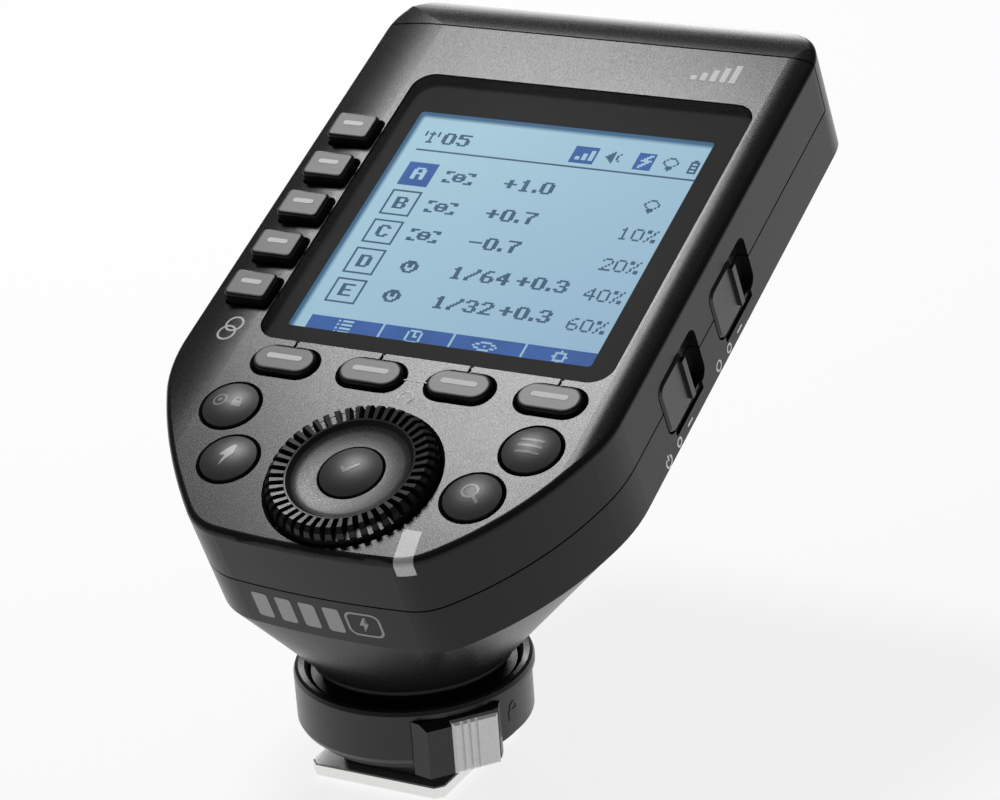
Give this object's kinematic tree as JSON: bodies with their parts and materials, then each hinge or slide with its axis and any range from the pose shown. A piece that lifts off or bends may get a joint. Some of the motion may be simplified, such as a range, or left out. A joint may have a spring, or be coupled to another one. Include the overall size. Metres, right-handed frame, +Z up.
{
  "type": "wireless flash trigger",
  "caption": "On-camera radio flash trigger: tilted control panel with display, keys and dial on a hot-shoe foot with a locking lever.",
  "frame": {"origin": "underside of the hot-shoe foot, on the axis of the centre contact and of the round collar", "axes": "+Z up out of the camera's shoe, +Y forward towards the subject, +X to the viewer's right"},
  "size_m": [0.0625, 0.0949, 0.0759],
  "materials": {
    "case_plastic": "fine-grained charcoal moulding",
    "window_glass": "gloss hard-coated window with a black printed border",
    "lcd_face": "lit pale blue display",
    "white_plastic": "moulded light guide",
    "steel": "plated steel",
    "silicone": "silicone mat",
    "dial_black": "satin black moulding",
    "dial_grain": "grained dark grey",
    "key_dark": "satin dark grey key",
    "key_grey": "mid grey key top",
    "circuit_board": "solder mask",
    "brass": "plain",
    "black_plastic": "moulded",
    "lamp_plastic": "frosted light guide",
    "cell_jacket": "printed jacket without lettering",
    "knob_black": "satin black",
    "foot_metal": "satin plated metal",
    "contact_gold": "gold plated",
    "collar_black": "satin black moulding",
    "pad_grey": "light grey moulding",
    "red_window": "dark red lens"
  },
  "bodies": {
    "housing": {"front_shell": "case_plastic", "rear_shell": "case_plastic", "screen_window": "window_glass", "lcd_panel": "lcd_face", "backlight_unit": "white_plastic", "lcd_bezel": "steel", "group_keypad": "silicone", "main_keypad": "silicone", "rotary_encoder": "steel", "main_board": "circuit_board", "radio_module": "circuit_board", "antenna": "brass", "beeper": "black_plastic", "status_lamp": "lamp_plastic", "usb_port": "steel", "sync_jack": "black_plastic", "battery_cell_left": "cell_jacket", "battery_cell_right": "cell_jacket", "battery_contacts": "steel", "battery_springs": "steel", "case_screws": "steel", "power_switch": "black_plastic", "af_switch": "black_plastic", "shoe_foot": "foot_metal", "foot_stem": "black_plastic", "contact_insert": "black_plastic", "foot_screws": "steel", "shoe_base": "black_plastic", "lock_collar": "collar_black", "af_assist_window": "red_window", "af_assist_lamp": "lamp_plastic"},
    "group_button_a": {"group_button_a": "key_grey"},
    "group_button_b": {"group_button_b": "key_grey"},
    "group_button_c": {"group_button_c": "key_grey"},
    "group_button_d": {"group_button_d": "key_grey"},
    "group_button_e": {"group_button_e": "key_grey"},
    "function_button_1": {"function_button_1": "key_grey"},
    "function_button_2": {"function_button_2": "key_grey"},
    "function_button_3": {"function_button_3": "key_grey"},
    "function_button_4": {"function_button_4": "key_grey"},
    "mode_button": {"mode_button": "key_dark"},
    "test_button": {"test_button": "key_dark"},
    "menu_button": {"menu_button": "key_dark"},
    "zoom_button": {"zoom_button": "key_dark"},
    "set_button": {"set_button": "key_dark"},
    "dial": {"dial_ring": "dial_black", "dial_face": "dial_grain"},
    "power_knob": {"power_switch_knob": "knob_black"},
    "af_knob": {"af_switch_knob": "knob_black"},
    "battery_door": {"battery_door": "case_plastic"},
    "lock_lever": {"lock_lever": "collar_black", "lock_lever_pad": "pad_grey"},
    "lock_pin": {"lock_pin": "steel"},
    "centre_contact": {"centre_contact": "contact_gold"},
    "ttl_contact_1": {"ttl_contact_1": "contact_gold"},
    "ttl_contact_2": {"ttl_contact_2": "contact_gold"},
    "ttl_contact_3": {"ttl_contact_3": "contact_gold"},
    "ttl_contact_4": {"ttl_contact_4": "contact_gold"}
  },
  "joints": [
    {"name": "group_button_a_press", "type": "slide", "parent": "housing", "child": "group_button_a", "axis": [0, 0.3907, -0.9205], "range_m": [0, 0.0006], "stiffness_N_per_m": 900, "springref_m": -0.00078},
    {"name": "group_button_b_press", "type": "slide", "parent": "housing", "child": "group_button_b", "axis": [0, 0.3907, -0.9205], "range_m": [0, 0.0006], "stiffness_N_per_m": 900, "springref_m": -0.00078},
    {"name": "group_button_c_press", "type": "slide", "parent": "housing", "child": "group_button_c", "axis": [0, 0.3907, -0.9205], "range_m": [0, 0.0006], "stiffness_N_per_m": 900, "springref_m": -0.00078},
    {"name": "group_button_d_press", "type": "slide", "parent": "housing", "child": "group_button_d", "axis": [0, 0.3907, -0.9205], "range_m": [0, 0.0006], "stiffness_N_per_m": 900, "springref_m": -0.00078},
    {"name": "group_button_e_press", "type": "slide", "parent": "housing", "child": "group_button_e", "axis": [0, 0.3907, -0.9205], "range_m": [0, 0.0006], "stiffness_N_per_m": 900, "springref_m": -0.00078},
    {"name": "function_button_1_press", "type": "slide", "parent": "housing", "child": "function_button_1", "axis": [0, 0.3907, -0.9205], "range_m": [0, 0.0006], "stiffness_N_per_m": 900, "springref_m": -0.00078},
    {"name": "function_button_2_press", "type": "slide", "parent": "housing", "child": "function_button_2", "axis": [0, 0.3907, -0.9205], "range_m": [0, 0.0006], "stiffness_N_per_m": 900, "springref_m": -0.00078},
    {"name": "function_button_3_press", "type": "slide", "parent": "housing", "child": "function_button_3", "axis": [0, 0.3907, -0.9205], "range_m": [0, 0.0006], "stiffness_N_per_m": 900, "springref_m": -0.00078},
    {"name": "function_button_4_press", "type": "slide", "parent": "housing", "child": "function_button_4", "axis": [0, 0.3907, -0.9205], "range_m": [0, 0.0006], "stiffness_N_per_m": 900, "springref_m": -0.00078},
    {"name": "mode_button_press", "type": "slide", "parent": "housing", "child": "mode_button", "axis": [0, 0.3907, -0.9205], "range_m": [0, 0.0006], "stiffness_N_per_m": 900, "springref_m": -0.00078},
    {"name": "test_button_press", "type": "slide", "parent": "housing", "child": "test_button", "axis": [0, 0.3907, -0.9205], "range_m": [0, 0.0006], "stiffness_N_per_m": 900, "springref_m": -0.00078},
    {"name": "menu_button_press", "type": "slide", "parent": "housing", "child": "menu_button", "axis": [0, 0.3907, -0.9205], "range_m": [0, 0.0006], "stiffness_N_per_m": 900, "springref_m": -0.00078},
    {"name": "zoom_button_press", "type": "slide", "parent": "housing", "child": "zoom_button", "axis": [0, 0.3907, -0.9205], "range_m": [0, 0.0006], "stiffness_N_per_m": 900, "springref_m": -0.00078},
    {"name": "set_button_press", "type": "slide", "parent": "housing", "child": "set_button", "axis": [0, 0.3907, -0.9205], "range_m": [0, 0.0006], "stiffness_N_per_m": 900, "springref_m": -0.00078},
    {"name": "dial_turn", "type": "hinge", "parent": "housing", "child": "dial", "pos_m": [0.00275, -0.01459, 0.04366], "axis": [0, -0.3907, 0.9205], "continuous": true},
    {"name": "power_slide", "type": "slide", "parent": "housing", "child": "power_knob", "axis": [0, 0.9205, 0.3907], "range_m": [0, 0.0034]},
    {"name": "af_slide", "type": "slide", "parent": "housing", "child": "af_knob", "axis": [0, 0.9205, 0.3907], "range_m": [0, 0.0034]},
    {"name": "battery_door_slide", "type": "slide", "parent": "housing", "child": "battery_door", "axis": [0, 0.9205, 0.3907], "range_m": [0, 0.06]},
    {"name": "lock_lever_turn", "type": "hinge", "parent": "housing", "child": "lock_lever", "pos_m": [0, 0, 0.008], "axis": [0, 0, 1], "range_deg": [0, 40]},
    {"name": "lock_pin_drop", "type": "slide", "parent": "housing", "child": "lock_pin", "axis": [0, 0, -1], "range_m": [0, 0.0016]},
    {"name": "centre_contact_press", "type": "slide", "parent": "housing", "child": "centre_contact", "axis": [0, 0, 1], "range_m": [0, 0.0006], "stiffness_N_per_m": 300, "springref_m": -0.0004},
    {"name": "ttl_contact_1_press", "type": "slide", "parent": "housing", "child": "ttl_contact_1", "axis": [0, 0, 1], "range_m": [0, 0.0006], "stiffness_N_per_m": 300, "springref_m": -0.0004},
    {"name": "ttl_contact_2_press", "type": "slide", "parent": "housing", "child": "ttl_contact_2", "axis": [0, 0, 1], "range_m": [0, 0.0006], "stiffness_N_per_m": 300, "springref_m": -0.0004},
    {"name": "ttl_contact_3_press", "type": "slide", "parent": "housing", "child": "ttl_contact_3", "axis": [0, 0, 1], "range_m": [0, 0.0006], "stiffness_N_per_m": 300, "springref_m": -0.0004},
    {"name": "ttl_contact_4_press", "type": "slide", "parent": "housing", "child": "ttl_contact_4", "axis": [0, 0, 1], "range_m": [0, 0.0006], "stiffness_N_per_m": 300, "springref_m": -0.0004}
  ],
  "couplings": [
    {"joint": "lock_pin_drop", "follows": "lock_lever_turn", "m_per_rad": 0.0022775}
  ]
}
